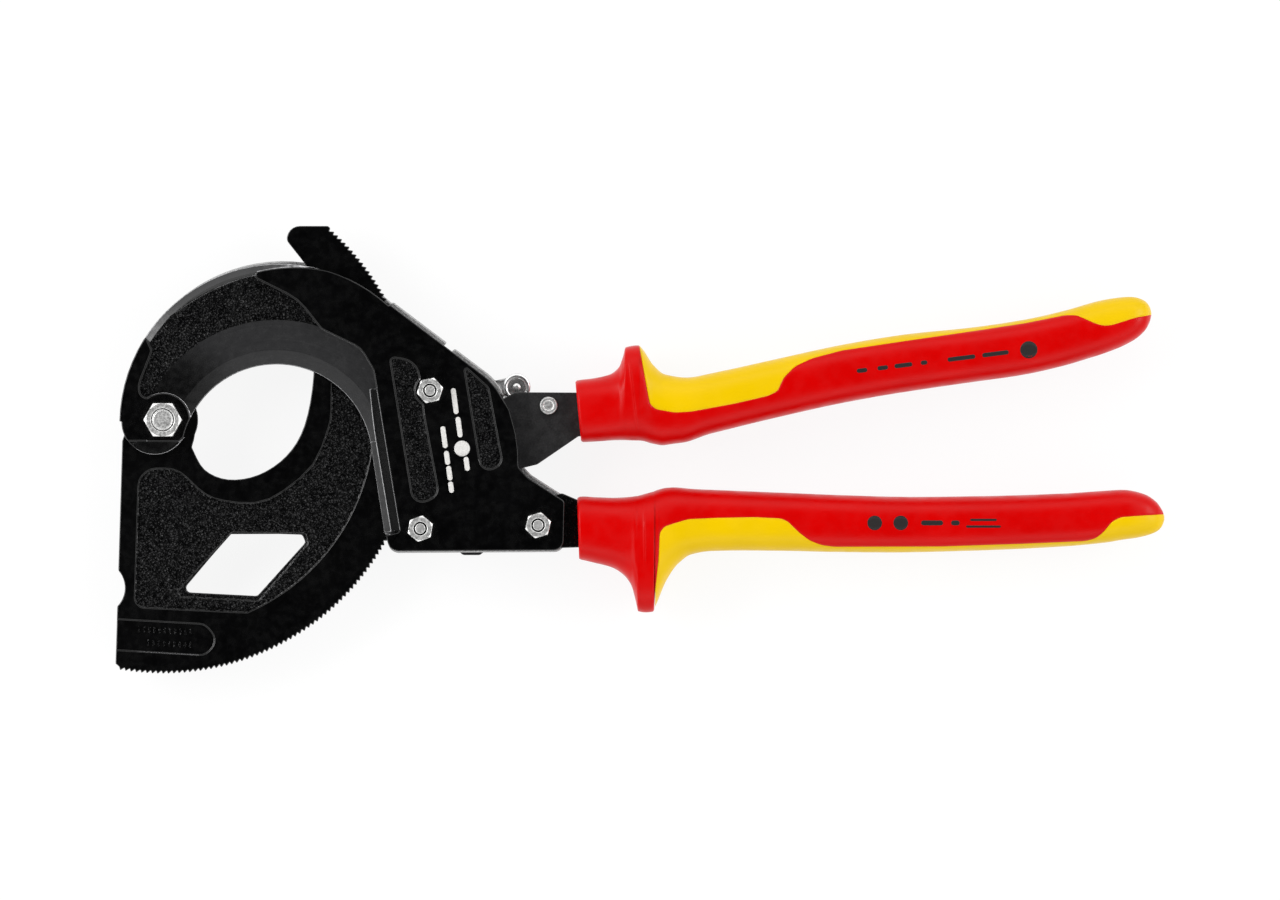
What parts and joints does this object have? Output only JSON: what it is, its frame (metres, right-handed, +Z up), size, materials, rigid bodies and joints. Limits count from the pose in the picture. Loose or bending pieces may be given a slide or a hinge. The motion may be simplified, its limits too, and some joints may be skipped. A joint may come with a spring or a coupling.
{
  "type": "ratchet cable cutter",
  "caption": "Hand ratchet cable cutter with a toothed swinging blade, a ring-shaped fixed blade and two insulated grips with hand guards.",
  "frame": {"origin": "under the middle of the whole tool, on the surface that it lies on", "axes": "+X along the tool towards the grips, +Y towards the moving handle, +Z up out of the front frame"},
  "size_m": [0.315, 0.1344, 0.025],
  "materials": {
    "cast_black": "semi-gloss black paint on a finely hammered casting",
    "blade_black": "black burnished steel with a hammered sunk panel",
    "tang_steel": "dark phosphated steel, satin",
    "pawl_steel": "hardened steel",
    "spring_steel": "bright spring wire",
    "zinc_steel": "bright zinc plating",
    "grip_red": "smooth moulded plastic, satin",
    "grip_yellow": "soft moulded plastic, satin"
  },
  "bodies": {
    "frame": {"front_frame": "cast_black", "back_frame": "cast_black", "rear_cover": "cast_black", "pivot_bush": "zinc_steel", "pivot_bolt": "zinc_steel", "pivot_nut": "zinc_steel", "frame_bolts": "zinc_steel", "frame_nuts": "zinc_steel", "spacer_sleeves": "zinc_steel", "lever_pin": "zinc_steel", "holding_pawl_spring": "spring_steel", "release_pin": "zinc_steel", "fixed_tang": "cast_black", "tang_dowel": "zinc_steel", "stop_pin": "zinc_steel", "handle_spring": "spring_steel", "spring_pin": "zinc_steel", "lower_grip_red": "grip_red", "lower_grip_yellow": "grip_yellow"},
    "blade": {"moving_blade": "blade_black"},
    "upper_handle": {"handle_lever": "tang_steel", "lever_rivet": "zinc_steel", "upper_grip_red": "grip_red", "upper_grip_yellow": "grip_yellow", "drive_pawl_spring": "spring_steel"},
    "drive_pawl": {"drive_pawl": "pawl_steel"},
    "holding_pawl": {"holding_pawl": "pawl_steel"},
    "release_lever": {"release_lever": "pawl_steel"}
  },
  "joints": [
    {"name": "blade_pivot", "type": "hinge", "parent": "frame", "child": "blade", "pos_m": [-0.14305, 0.00905, 0.012], "axis": [0, 0, 1], "range_deg": [-100, 85]},
    {"name": "handle_squeeze", "type": "hinge", "parent": "frame", "child": "upper_handle", "pos_m": [-0.05692, 0, 0.012], "axis": [0, 0, 1], "range_deg": [-10.8, 0], "stiffness_Nm_per_rad": 1.5, "springref_deg": 8.59, "deforming": ["handle_spring"]},
    {"name": "drive_pawl_tilt", "type": "hinge", "parent": "upper_handle", "child": "drive_pawl", "pos_m": [-0.0612, -0.00696, 0.012], "axis": [0, 0, 1], "range_deg": [-8, 0], "stiffness_Nm_per_rad": 0.02, "springref_deg": 5.73, "deforming": ["drive_pawl_spring"]},
    {"name": "release_lever_turn", "type": "hinge", "parent": "frame", "child": "release_lever", "pos_m": [-0.0507, -0.01882, 0.00345], "axis": [0, 0, 1], "range_deg": [0, 8], "stiffness_Nm_per_rad": 0.05, "springref_deg": -5.73},
    {"name": "holding_pawl_tilt", "type": "hinge", "parent": "frame", "child": "holding_pawl", "pos_m": [-0.06585, -0.02355, 0.012], "axis": [0, 0, 1], "range_deg": [-8, 0], "deforming": ["holding_pawl_spring"]}
  ],
  "couplings": [
    {"joint": "holding_pawl_tilt", "follows": "release_lever_turn", "ratio": -1}
  ]
}
